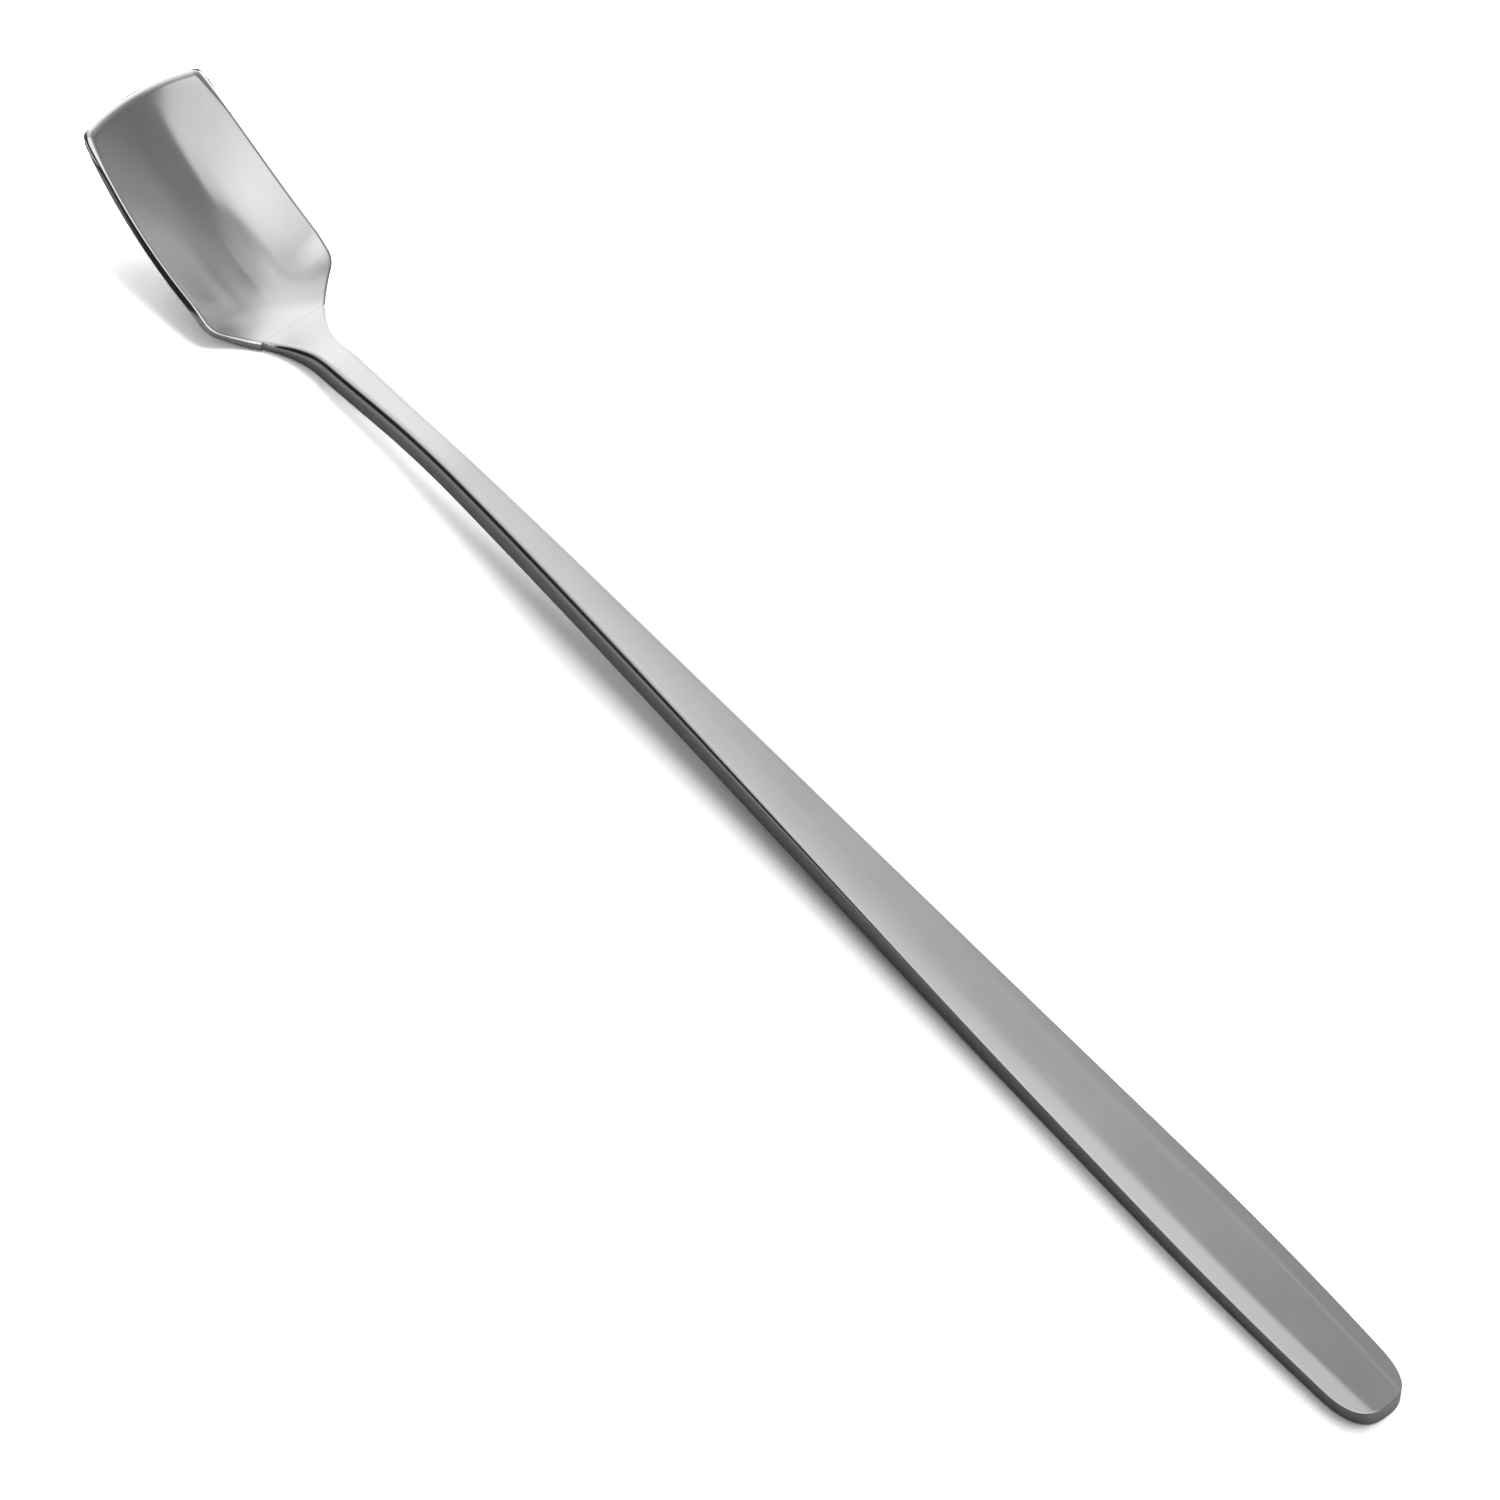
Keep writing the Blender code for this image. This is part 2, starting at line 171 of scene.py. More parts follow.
class SpoonProfile(bpy.types.PropertyGroup):
    """The spoon seen from the side, and its cross-sections."""

    heel: length("Heel", "From the weld back to where the underside leaves the table", 0.0065)
    crest: length("Crest", "From the weld to the top of the arch", 0.0384)
    crest_rise: length("Crest Rise", "Height of the arch's underside", 0.00314)
    landing: length("Landing", "From the end to where the arch meets the table", 0.0526)
    neck_thick: length("Bar Thickness", "Thickness of the bar past the neck", 0.00352)
    end_thick: length("End Thickness", "Thickness of the bar at its end", 0.00232)
    arris_rise: length("Arris Rise", "From the weld to where the shaft's upper edges are fully rounded", 0.0101)
    thinning: length("Thinning Start", "From the weld to where the bar starts to thin", 0.0422)
    thinning_power: ratio("Thinning", "How late the thinning comes", 4.14)
    crown: length("Crown", "How far the handle's middle stands above its edges", 0.000575)
    crown_from: length("Crown Start", "From the weld to where the crown starts", 0.0022)
    crown_length: length("Crown Run", "Length over which the crown rises", 0.0600)
    sheet: length("Sheet", "Thickness of the bowl", 0.0012)
    rim_back: length("Rim Back", "Height of the rim at the rear corners", 0.00522)
    rim_slope: ratio("Rim Slope", "Slope of the rim at the rear corners", 0.0347)
    rim_radius: length("Rim Radius", "Radius of the rim's upward sweep", 0.02785)
    rim_arch: length("Rim Arch", "How far the rim bows up between the rear and the front corners", 0.00125)
    wall_from: length("Wall Start", "From the weld to where the bowl's walls start to rise", 0.00192)
    wall_run: length("Wall Run", "Length over which the walls rise to their full height", 0.01057)
    foot_back: ratio("Rear Foot", "Where the walls start at the back, as a share of the half width", 0.392)
    foot_front: ratio("Front Foot", "Where the walls start at the front, as a share of the half width", 0.135)
    foot_run: length("Foot Run", "Length over which the walls' foot moves inwards", 0.0299)
    fillet_back: ratio("Rear Fillet", "Rounding of the walls' foot at the back, by half width", 0.278)
    fillet_front: ratio("Front Fillet", "Rounding of the walls' foot at the front, by half width", 0.051)
    floor: length("Floor", "From the weld to the lowest place of the bowl", 0.00489)
    floor_power: ratio("Floor Climb", "How late the floor climbs to the lip", 1.761)
    runout: length("Run-out", "From the weld to where the bowl's floor has run out over the neck", 0.0115)
    band_width: length("Edge Band", "Width of the sloping band along the handle's edges", 0.0022)
    band_soft: length("Edge Band Softness", "How gently the band starts at the handle's end", 0.00027)
    band_from: length("Edge Band Start", "From the weld to where the band starts to show", 0.0598)
    band_run: length("Edge Band Run", "Length over which the band becomes clear", 0.1500)
    crown_share: share("Crown Share", "Share of the crown that shows across the slim shaft", 0.25)
    shaft_arris: length("Shaft Arris", "Rounding of the slim shaft's upper edges", 0.00120)
    end_arris: length("End Arris", "Rounding of the upper edges at the handle's end", 0.00012)
    arris_from: length("Arris Start", "From the weld to where the rounding starts to grow smaller", 0.0600)
    arris_run: length("Arris Run", "Length over which the rounding grows smaller", 0.1000)
    low_arris: length("Lower Arris", "Rounding of the handle's lower edges", 0.00030)
    wall_lean: share("Wall Lean", "Cosine of the slope of the bowl's walls at the rim", 0.82)
    lip_lean: share("Lip Lean", "Cosine of the slope of the bowl's floor at the lip", 0.63)
    rim_round: length("Rim Round", "Rounding of the rim's inner edge", 0.00036)
    rim_under: length("Rim Under", "Rounding of the rim's outer edge", 0.00018)
    rim_flare: length("Rim Flare", "How far the rim's outer edge stands out beyond square", 0.00009)
    flare_gain: ratio("Flare Gain", "How much more the rim's outer edge stands out at the front", 3.0)
    lip_round: length("Lip Round", "Rounding of the lip's inner edge", 0.00100)
    lip_run: length("Lip Run", "From the front corners to where the lip's rounding has run out", 0.0060)


class SpoonMesh(bpy.types.PropertyGroup):
    """Fineness of the two meshes."""

    turn_length: length("Turn Length", "Extra outline length for each radian of turn, for closer rows", 0.0060)
    bowl_rows: IntProperty(name="Bowl Rows", description="Rows from the neck to the lip", default=110)
    bowl_columns: IntProperty(name="Bowl Columns", description="Columns from rim to rim", default=56)
    handle_rows: IntProperty(name="Handle Rows", description="Rows from the weld to the end", default=240)
    handle_columns: IntProperty(name="Handle Columns", description="Columns from edge to edge", default=56)
    arris_steps: IntProperty(name="Arris Steps", description="Steps in each rounded arris", default=8)


class SteelFinish(bpy.types.PropertyGroup):
    """Satin finish of the steel."""

    colour: FloatVectorProperty(
        name="Steel", description="Colour of the steel", default=STEEL_COLOUR, size=3, subtype="COLOR",
        min=0.0, max=1.0,
    )
    roughness: share("Roughness", "Roughness of the satin faces", 0.20)
    cloud: share("Cloudiness", "Slow change of roughness over a face", 0.05)
    grain: share("Grain", "Fine change of roughness from the blasting grain", 0.05)
    brushing: share("Brushing", "Change of roughness along the polishing lines", 0.03)
    edge_polish: share("Edge Polish", "How much smoother handled edges are", 0.06)
    grain_size: length("Grain Size", "Size of the grain", 0.00008)
    line_length: length("Line Length", "Length of the polishing lines", 0.0080)
    line_width: length("Line Width", "Width of the polishing lines", 0.00010)
    bump: length("Grain Depth", "Depth of the grain", 0.0000012)


class StudioStage(bpy.types.PropertyGroup):
    """Camera, floor and soft light."""

    camera_at: FloatVectorProperty(
        name="Camera", description="Place of the camera", default=(0.374789, -0.300877, 0.656492),
        subtype="TRANSLATION",
    )
    camera_to: FloatVectorProperty(
        name="Aim", description="Point on the table that the camera looks at", default=(0.00182, 0.00341, 0.0),
        subtype="TRANSLATION",
    )
    lens: ratio("Lens", "Focal length in millimetres on a 36 mm frame", 153.782)
    floor_colour: FloatVectorProperty(
        name="Floor", description="Colour of the table", default=(0.90, 0.90, 0.90), size=3, subtype="COLOR"
    )
    floor_size: length("Floor Size", "Side of the square floor", 8.0)
    # Painted light: the floor's colour is lifted above the table's. A little by the handle's end, where it makes
    # the floor white, and most by the bowl, where it lightens the spoon's shadow.
    lift_from: length("Lift Start", "Where the floor starts to be seen paler towards the bowl", -0.02)
    lift_to: length("Lift End", "Where the floor is seen at its palest", -0.1)
    end_lift: ratio("End Lift", "How much paler the floor is seen by the handle's end, to be white", 0.28)
    # Painted shade: a dark card on the table, a darker copy of it that only the steel reflects, along the
    # spoon's near side and past its end.
    painted_shade_colour: FloatVectorProperty(
        name="Flag", description="Colour of the dark card on the table", default=(0.225, 0.225, 0.225), size=3,
        subtype="COLOR",
    )
    painted_shade_end: length("Flag End", "Where the card turns round the handle's end", 0.1175)
    # Painted light: by the bowl the floor's colour is lifted most, which washes the spoon's shadow out there.
    bowl_painted_light_lift: ratio("Bowl Lift", "How much paler the floor is seen by the bowl, to be white", 2.10)
    ambient: ratio("Ambient", "Soft light on the table from all round", 0.42)
    ambient_lean: share("Ambient Lean", "How much weaker that light is from the side of the dark flag", 0.60)
    tent_radius: length("Tent Radius", "Radius of the light tent that the steel reflects", 0.980)
    key_size: length("Key Size", "Diameter of the disk lamp over the table", 1.6)
    key_energy: ratio("Key Energy", "Power of the disk lamp in watts", 33.0)
    key_azimuth: ratio("Key Azimuth", "Degrees to the right of straight away from the camera", 50.0)
    key_elevation: ratio("Key Elevation", "Degrees of the disk lamp above the table", 56.0)
    key_distance: length("Key Distance", "From the table's middle to the disk lamp", 1.5)


class SpoonForm:
    """The spoon's surfaces as functions of the stations along it."""

    def __init__(self, outline, profile):
        self.o = outline
        self.p = profile
        self.weld = outline.weld_x
        self.neck_arc = self.weld + outline.neck_arc
        apart = outline.neck_radius + outline.shoulder_radius
        neck_half = outline.shaft_half + outline.neck_flare
        run = math.sqrt(apart**2 - (neck_half + apart - outline.shoulder_half) ** 2)
        self.shoulder = self.neck_arc - run
        self.tangent = self.shoulder + run * outline.shoulder_radius / apart
        self.inner_lip = outline.lip_x + outline.lip_overhang
        self.corner = self.inner_lip + outline.lip_bulge
        self.heel = self.weld - profile.heel
        self.crest = self.weld + profile.crest
        self.landing = outline.end_x - profile.landing
        self.thinning = self.weld + profile.thinning
        self.floor = self.weld - profile.floor
        self.runout = self.weld + profile.runout

    def underside(self, x):
        """Height of the underside: an arch between the heel and the handle's flat landing."""
        if x > self.crest:
            rise = (self.landing - x) / (self.landing - self.crest)
        else:
            rise = (x - self.heel) / (self.crest - self.heel)
        return self.p.crest_rise * ease(rise)

    def bar_thickness(self, x):
        """Thickness at the edge of the bar, which thins towards the end."""
        p = self.p
        along = clamp((x - self.thinning) / (self.o.end_x - self.thinning))
        return p.neck_thick - (p.neck_thick - p.end_thick) * along**p.thinning_power

    def shaft_half_width(self, x):
        """Half width of the handle without its round end."""
        o = self.o
        past = x - self.weld - o.taper_from
        width = o.shaft_half + o.taper * 0.5 * (past + math.hypot(past, o.taper_softening))
        width -= max(x - o.end_x + o.flank_from_end, 0.0) ** 2 / (2.0 * o.flank_radius)
        return width + o.neck_flare * ease((self.weld + o.waist - x) / (o.waist - o.neck_arc))

    def cap_x(self, across, full):
        """X of the blunt round end at the distance across from the middle, where the half width is full."""
        o = self.o
        inset = 1.0 - (1.0 - (across / full) ** o.cap_power) ** (1.0 / o.cap_power)
        return o.end_x - o.cap_length * inset

    def half_width(self, x):
        """Half width of the spoon seen from above."""
        o = self.o
        if x > self.neck_arc:
            into_cap = max(x - (o.end_x - o.cap_length), 0.0) / o.cap_length
            return self.shaft_half_width(x) * (1.0 - into_cap**o.cap_power) ** (1.0 / o.cap_power)
        if x <= self.shoulder:
            along = (self.shoulder - x) / (self.shoulder - self.corner)
            side = o.shoulder_half + o.side_swell * bow(along) - o.front_draw * along**4
            into_corner = max(o.corner_run - (x - self.corner), 0.0)
            return side - o.corner_round + math.sqrt(o.corner_round**2 - into_corner**2)
        if x > self.tangent:
            reach = self.neck_arc - x
            return self.shaft_half_width(x) + o.neck_radius - math.sqrt(o.neck_radius**2 - reach**2)
        back = x - self.shoulder
        return o.shoulder_half - o.shoulder_radius + math.sqrt(o.shoulder_radius**2 - back**2)

    def rim_height(self, x):
        """Height of the bowl's rim: nearly level behind the shoulders, and an upward sweep ahead of them."""
        p = self.p
        ahead = self.shoulder - x
        arch = p.rim_arch * bow(ahead / (self.shoulder - self.corner))
        return p.rim_back + p.rim_slope * ahead + ahead**2 / (2.0 * p.rim_radius) + arch

    def crown(self, x):
        """How far the middle of the top face stands above its edges."""
        return self.p.crown * ease((x - self.weld - self.p.crown_from) / self.p.crown_length)

    def middle_height(self, x):
        """Height on the centre line: the bowl's floor, running out over the neck to the crowned bar."""
        p = self.p
        climb = max((self.floor - x) / (self.floor - self.inner_lip), 0.0)
        floor = p.sheet + (self.rim_height(self.corner) - p.sheet) * climb**p.floor_power
        bar = self.underside(x) + self.bar_thickness(x) + self.crown(x)
        return floor + (bar - floor) * ease((x - self.floor) / (self.runout - self.floor))

    def wall_section(self, x, across):
        """Share of the rim's height above the floor, at across from 0 to 1, fading over the neck."""
        p = self.p
        forward = ease((self.shoulder - x) / p.foot_run)
        foot = p.foot_back + (p.foot_front - p.foot_back) * forward
        fillet = p.fillet_back + (p.fillet_front - p.fillet_back) * forward
        return soft_ramp(across, foot, fillet) * ease((self.weld + p.wall_from - x) / p.wall_run)

    def crown_section(self, x, across):
        """Share of the crown's drop: a flat middle with a sloping band along each edge of the handle."""
        p = self.p
        clear = ease((x - self.weld - p.band_from) / p.band_run)
        half = self.shaft_half_width(x)
        soft = p.band_soft + (1.0 - clear) * p.band_width
        band = soft_ramp(across, 1.0 - p.band_width / half, soft / half)
        return across**2 * p.crown_share * (1.0 - clear) + band * clear

    def top_height(self, x, y):
        """Height of the top face behind the shoulders, where the neck's outline cuts the bowl's walls off."""
        middle = self.middle_height(x)
        bowl_half = self.half_width(min(x, self.shoulder))
        wall = (self.rim_height(x) - middle) * self.wall_section(x, abs(y) / bowl_half)
        half = self.shaft_half_width(x) if x > self.neck_arc else self.half_width(x)
        return middle + wall - self.crown(x) * self.crown_section(x, min(abs(y) / half, 1.0))

    def bowl_top(self, x, across):
        """Point of the bowl's inner face on the row whose sides are at x."""
        half = self.half_width(x)
        if x > self.shoulder:
            return Vector((x, half * across, self.top_height(x, half * across)))
        forward = clamp((self.shoulder - x) / (self.shoulder - self.corner))
        shift = -self.o.lip_bulge * forward**3
        middle = self.middle_height(x + shift)
        rise = (self.rim_height(x) - middle) * self.wall_section(x, abs(across))
        return Vector((x + shift * (1.0 - across**2), half * across, middle + rise))

    def upper_round(self, x):
        """Radius of the upper edge: larger at the lip and on the shaft than on the rim and at the end."""
        p = self.p
        lip = ease((self.corner + p.lip_run - x) / p.lip_run)
        shaft = ease((x - self.floor) / (self.weld + p.arris_rise - self.floor))
        end = ease((x - self.weld - p.arris_from) / p.arris_run)
        rim = p.rim_round + (p.lip_round - p.rim_round) * lip
        return rim + (p.shaft_arris - rim) * shaft + (p.end_arris - p.shaft_arris) * end

    def lower_round(self, x):
        """Radius of the lower edge, easing from the rim's to the handle's lower arris at the weld."""
        p = self.p
        return p.rim_under + (p.low_arris - p.rim_under) * ease((x - self.floor) / (self.weld - self.floor))

    def inner_share(self, x, radius, flare):
        """Share of the half width inside the edge's rounding, which takes less on the bowl's sloping walls."""
        flat = ease((x - self.shoulder) / (self.weld - self.shoulder))
        forward = clamp((self.shoulder - x) / (self.shoulder - self.corner))
        inset = radius(x) * (self.p.wall_lean + (1.0 - self.p.wall_lean) * flat)
        inset -= flare * (1.0 - flat) * (1.0 + self.p.flare_gain * forward**2)
        return 1.0 - inset / self.half_width(x)

    def bowl_sheet(self, point):
        """Thickness of the bowl's sheet: it swells to the bar's own at the weld."""
        at_weld = self.top_height(self.weld, point.y) - self.underside(self.weld)
        swell = ease((point.x - self.floor) / (self.weld - self.floor))
        return self.p.sheet + (at_weld - self.p.sheet) * swell

    def even_stations(self, first, last, count, turn_length):
        """Stations from first to last that divide the outline evenly, with more rows where it turns."""
        xs = [first + (last - first) * i / OUTLINE_STEPS for i in range(OUTLINE_STEPS + 1)]
        widths = [self.half_width(x) for x in xs]
        run = [0.0]
        heading = None
        for i in range(OUTLINE_STEPS):
            along = abs(xs[i + 1] - xs[i])
            turned = math.atan2(widths[i + 1] - widths[i], along)
            turn = 0.0 if heading is None else abs(turned - heading)
            heading = turned
            run.append(run[-1] + math.hypot(along, widths[i + 1] - widths[i]) + turn_length * turn)
        stations = []
        at = 0
        for i in range(count + 1):
            wanted = run[-1] * i / count
            while run[at + 1] < wanted and at + 2 < len(run):
                at += 1
            part = (wanted - run[at]) / (run[at + 1] - run[at])
            stations.append(xs[at] + (xs[at + 1] - xs[at]) * part)
        return stations


def clamp(t):
    return min(max(t, 0.0), 1.0)


def ease(t):
    """Runs from 0 to 1 with level ends, as t runs from 0 to 1."""
    t = clamp(t)
    return t * t * (3.0 - 2.0 * t)


def bow(t):
    """A bow that is 0 at t = 0 and t = 1 and 1 halfway."""
    return 4.0 * t * (1.0 - t) if 0.0 < t < 1.0 else 0.0


def soft_ramp(t, foot, softening):
    """Share of the rise at t from 0 to 1 of a straight ramp with a rounded foot."""

    def ramp(u):
        return u - foot + math.hypot(u - foot, softening)

    return (ramp(t) - ramp(0.0)) / (ramp(1.0) - ramp(0.0))


def even_columns(count, inner):
    """Places across from -inner to inner."""
    return [inner * (2.0 * j / count - 1.0) for j in range(count + 1)]


def grid_normals(grid):
    """Upward normals of a grid of points, whose last row may end where the outline runs straight on."""
    rows = len(grid)
    columns = len(grid[0])
    normals = []
    for i in range(rows):
        row = []
        for j in range(columns):
            along = grid[min(i + 1, rows - 1)][j] - grid[max(i - 1, 0)][j]
            across = grid[i][min(j + 1, columns - 1)] - grid[i][max(j - 1, 0)]
            normal = along.cross(across).normalized()
            row.append(normal if normal.z > 0.0 else -normal)
        normals.append(row)
    normals[-1][0] = normals[-2][1]
    normals[-1][-1] = normals[-2][-2]
    return normals


def plate_mesh(top, low, upper_round, lower_round, steps):
    """A closed plate between two grids of points, with rounded edges outside them but for row 0, the weld."""
    bm = bmesh.new()
    rows = len(top)
    last = len(top[0]) - 1
    up = grid_normals(top)
    down = grid_normals(low)
    rim = [(i, last) for i in range(rows)]
    rim += [(rows - 1, j) for j in range(last - 1, 0, -1)]
    rim += [(i, 0) for i in range(rows - 1, -1, -1)]

    def edge_path(k):
        """Points from the upper to the lower grid round the plate's edge at place k of the rim."""
        i, j = rim[k]
        before, after = rim[max(k - 1, 0)], rim[min(k + 1, len(rim) - 1)]
        path = []
        for grid, normals, radius, side in ((top, up, upper_round, 1.0), (low, down, lower_round, -1.0)):
            normal = normals[i][j]
            along = grid[after[0]][after[1]] - grid[before[0]][before[1]]
            out = along.cross(normal).normalized()
            if out.dot(grid[i][j] - grid[i][last - j] if j in (0, last) else grid[i][j] - grid[i - 1][j]) < 0.0:
                out.negate()
            reach = radius(grid[i][j].x)
            centre = grid[i][j] - normal * (side * reach)
            turns = [math.pi / 2.0 * step / steps for step in range(1, steps + 1)]
            arc = [centre + (out * math.sin(t) + normal * (side * math.cos(t))) * reach for t in turns]
            path += arc if side > 0.0 else arc[::-1]
        if i == 0:
            for point in path:
                point.x = top[0][0].x
        return path

    grids = [[[bm.verts.new(point) for point in row] for row in grid] for grid in (top, low)]
    for grid in grids:
        for i in range(rows - 1):
            for j in range(last):
                bm.faces.new((grid[i][j], grid[i][j + 1], grid[i + 1][j + 1], grid[i + 1][j]))
    strips = []
    for k, (i, j) in enumerate(rim):
        strips.append([grids[0][i][j], *(bm.verts.new(point) for point in edge_path(k)), grids[1][i][j]])
    for one, two in zip(strips, strips[1:]):
        for k in range(len(one) - 1):
            bm.faces.new((one[k], one[k + 1], two[k + 1], two[k]))
    weld_face = grids[0][0] + strips[0][1:] + grids[1][0][-2::-1] + strips[-1][-2:0:-1]
    bm.faces.new(weld_face)
    bmesh.ops.recalc_face_normals(bm, faces=bm.faces)
    return bm


def offset_below(top, thickness):
    """Points under a grid of points, at the given thickness along the surface's own normal."""
    normals = grid_normals(top)
    low = []
    for points, ups in zip(top, normals):
        low.append([point - up * thickness(point) for point, up in zip(points, ups)])
    return low


def spoon_piece(name, bm, form, material, node):
    """The finished piece: smooth, with its handled edges marked for the finish, riding on the frame."""
    mesh = bpy.data.meshes.new(name)
    bm.to_mesh(mesh)
    bm.free()
    mesh.shade_smooth()
    mesh.set_sharp_from_angle(angle=SHARP_EDGE)
    edge = mesh.attributes.new("edge", "FLOAT", "POINT")
    for vert in mesh.vertices:
        x = min(max(vert.co.x, form.corner), form.o.end_x - form.o.cap_length)
        inside = form.half_width(x) - abs(vert.co.y)
        edge.data[vert.index].value = ease(1.0 - inside / EDGE_WEAR)
    mesh.materials.append(material)
    piece = bpy.data.objects.new(name, mesh)
    bpy.context.scene.collection.objects.link(piece)
    normals = piece.modifiers.new("even_normals", "WEIGHTED_NORMAL")
    normals.keep_sharp = True
    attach(piece, "root")
    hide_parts(node)
    return piece


class Socket:
    """A shader socket that takes part in sums, differences and products."""

    def __init__(self, sheet, socket):
        self.sheet = sheet
        self.socket = socket

    def _math(self, operation, first, second):
        return self.sheet.node("ShaderNodeMath", {"operation": operation}, {0: first, 1: second})

    def __add__(self, other):
        return self._math("ADD", self, other)

    def __radd__(self, other):
        return self._math("ADD", other, self)

    def __sub__(self, other):
        return self._math("SUBTRACT", self, other)

    def __rsub__(self, other):
        return self._math("SUBTRACT", other, self)

    def __mul__(self, other):
        return self._math("MULTIPLY", self, other)

    def __rmul__(self, other):
        return self._math("MULTIPLY", other, self)


class NodeSheet:
    """The node tree of a material or of the world."""

    def __init__(self, owner):
        owner.use_nodes = True
        self.tree = owner.node_tree
        self.tree.nodes.clear()

    def node(self, kind, settings=None, inputs=None, output=0):
        """Adds a node, applies its settings, then its socket values and links, and gives one of its outputs."""
        node = self.tree.nodes.new(kind)
        for name, value in (settings or {}).items():
            setattr(node, name, value)
        for name, value in (inputs or {}).items():
            if isinstance(value, Socket):
                self.tree.links.new(value.socket, node.inputs[name])
            else:
                node.inputs[name].default_value = value
        return Socket(self, node.outputs[output]) if node.outputs else None

    def step(self, value, low, high, to_low=0.0, to_high=1.0):
        """Smooth step of a value from low to high."""
        return self.node(
            "ShaderNodeMapRange",
            {"interpolation_type": "SMOOTHSTEP"},
            {"Value": value, "From Min": low, "From Max": high, "To Min": to_low, "To Max": to_high},
        )

    def dot(self, vector, direction):
        return self.node(
            "ShaderNodeVectorMath", {"operation": "DOT_PRODUCT"}, {0: vector, 1: direction}, "Value"
        )

    def scaled(self, vector, scale):
        return self.node("ShaderNodeVectorMath", {"operation": "MULTIPLY"}, {0: vector, 1: scale})

    def noise(self, vector, detail):
        """Noise from 0 to 1 whose cells are one unit of the vector."""
        return self.node("ShaderNodeTexNoise", None, {"Vector": vector, "Scale": 1.0, "Detail": detail})

    def colour_mix(self, factor, first, second):
        return self.node(
            "ShaderNodeMix", {"data_type": "RGBA"}, {"Factor": factor, 6: first, 7: second}, 2
        )


def satin_steel(name, finish):
    """Satin steel: fine blasting grain, faint polishing lines, cloudy sheen and smoother, paler edges."""
    material = bpy.data.materials.new(name)
    sheet = NodeSheet(material)
    place = sheet.node("ShaderNodeTexCoord", output="Object")
    grain_scale = 1.0 / finish.grain_size
    line_scale = 1.0 / finish.line_width
    grain = sheet.noise(sheet.scaled(place, (grain_scale,) * 3), 2.0) - 0.5
    lines = sheet.noise(sheet.scaled(place, (1.0 / finish.line_length, line_scale, line_scale)), 3.0) - 0.5
    cloud = sheet.noise(sheet.scaled(place, CLOUD_SCALE), 3.0) - 0.5
    edge = sheet.node("ShaderNodeAttribute", {"attribute_name": "edge"}, output="Fac")
    roughness = finish.roughness + cloud * finish.cloud + grain * finish.grain + lines * finish.brushing
    roughness = roughness - edge * finish.edge_polish
    colour = Vector(finish.colour)
    dull, bright, worn = ((*(colour * gain), 1.0) for gain in (DULL, BRIGHT, WORN))
    tone = sheet.step(cloud + lines * 0.5 + grain * 0.35, -TONE_SPREAD, TONE_SPREAD)
    base = sheet.colour_mix(edge * 0.6, sheet.colour_mix(tone, dull, bright), worn)
    height = grain * 0.7 + lines * 0.6
    bump = sheet.node(
        "ShaderNodeBump", None, {"Strength": BUMP_STRENGTH, "Distance": finish.bump, "Height": height}
    )
    shader = sheet.node(
        "ShaderNodeBsdfPrincipled",
        None,
        {"Base Color": base, "Metallic": 1.0, "Roughness": roughness, "Normal": bump},
    )
    sheet.node("ShaderNodeOutputMaterial", None, {"Surface": shader})
    return material


class SPOON_OT_bowl(bpy.types.Operator):
    """Make the pressed bowl, from the weld to the raised lip"""

    bl_idname = "spoon.bowl"
    bl_label = "Bowl"

    def execute(self, context):
        scene = context.scene
        form = SpoonForm(scene.spoon_outline, scene.spoon_profile)
        fine = scene.spoon_mesh
        start = form.weld - scene.spoon_outline.weld_gap / 2.0
        faces = []
        for radius, flare in ((form.upper_round, 0.0), (form.lower_round, form.p.rim_flare)):
            front = form.corner + radius(form.corner) * form.p.lip_lean
            rows = []
            for x in form.even_stations(start, front, fine.bowl_rows, fine.turn_length):
                columns = even_columns(fine.bowl_columns, form.inner_share(x, radius, flare))
                rows.append([form.bowl_top(x, across) for across in columns])
            faces.append(rows)
        top = faces[0]
        low = offset_below(faces[1], form.bowl_sheet)
        for row in low:
            for point in row:
                point.z = max(point.z, 0.0)
        for point in low[0]:
            point.x = start
            point.z = form.underside(start)
        bm = plate_mesh(top, low, form.upper_round, form.lower_round, fine.arris_steps)
        steel = satin_steel("bowl_satin_steel", scene.spoon_finish)
        spoon_piece("pressed_bowl", bm, form, steel, "bowl")
        return {"FINISHED"}


class SPOON_OT_handle(bpy.types.Operator):
    """Make the arched handle bar, from the weld to the blunt round end"""

    bl_idname = "spoon.handle"
    bl_label = "Handle"

    def execute(self, context):
        scene = context.scene
        outline = scene.spoon_outline
        profile = scene.spoon_profile
        fine = scene.spoon_mesh
        form = SpoonForm(outline, profile)
        turn = 0.5 ** (1.0 / outline.cap_power)
        last = outline.end_x - outline.cap_length * (1.0 - turn)
        half_end = form.half_width(last)
        morph = 6.0 * half_end
        start = form.weld + outline.weld_gap / 2.0
        top = []
        low = []
        for x in form.even_stations(start, last, fine.handle_rows, fine.turn_length):
            bend = ease((x - (last - morph)) / morph)
            into_cap = max(x - (outline.end_x - outline.cap_length), 0.0) / outline.cap_length
            blunt = (1.0 - into_cap**outline.cap_power) ** (1.0 / outline.cap_power)
            for rows, inset in ((top, form.upper_round(x)), (low, form.lower_round(x))):
                row = []
                squeeze = 1.0 - inset / outline.cap_length
                for across in even_columns(fine.handle_columns, 1.0):
                    reach = form.cap_x(half_end * abs(across), half_end / turn) - last
                    at = x - into_cap * inset + bend * reach * squeeze
                    y = (form.half_width(x) - inset * blunt) * across
                    height = form.top_height(at, y) if rows is top else form.underside(at)
                    row.append(Vector((at, y, height)))
                rows.append(row)
        bm = plate_mesh(top, low, form.upper_round, form.lower_round, fine.arris_steps)
        steel = satin_steel("handle_satin_steel", scene.spoon_finish)
        spoon_piece("handle_bar", bm, form, steel, "handle")
        return {"FINISHED"}


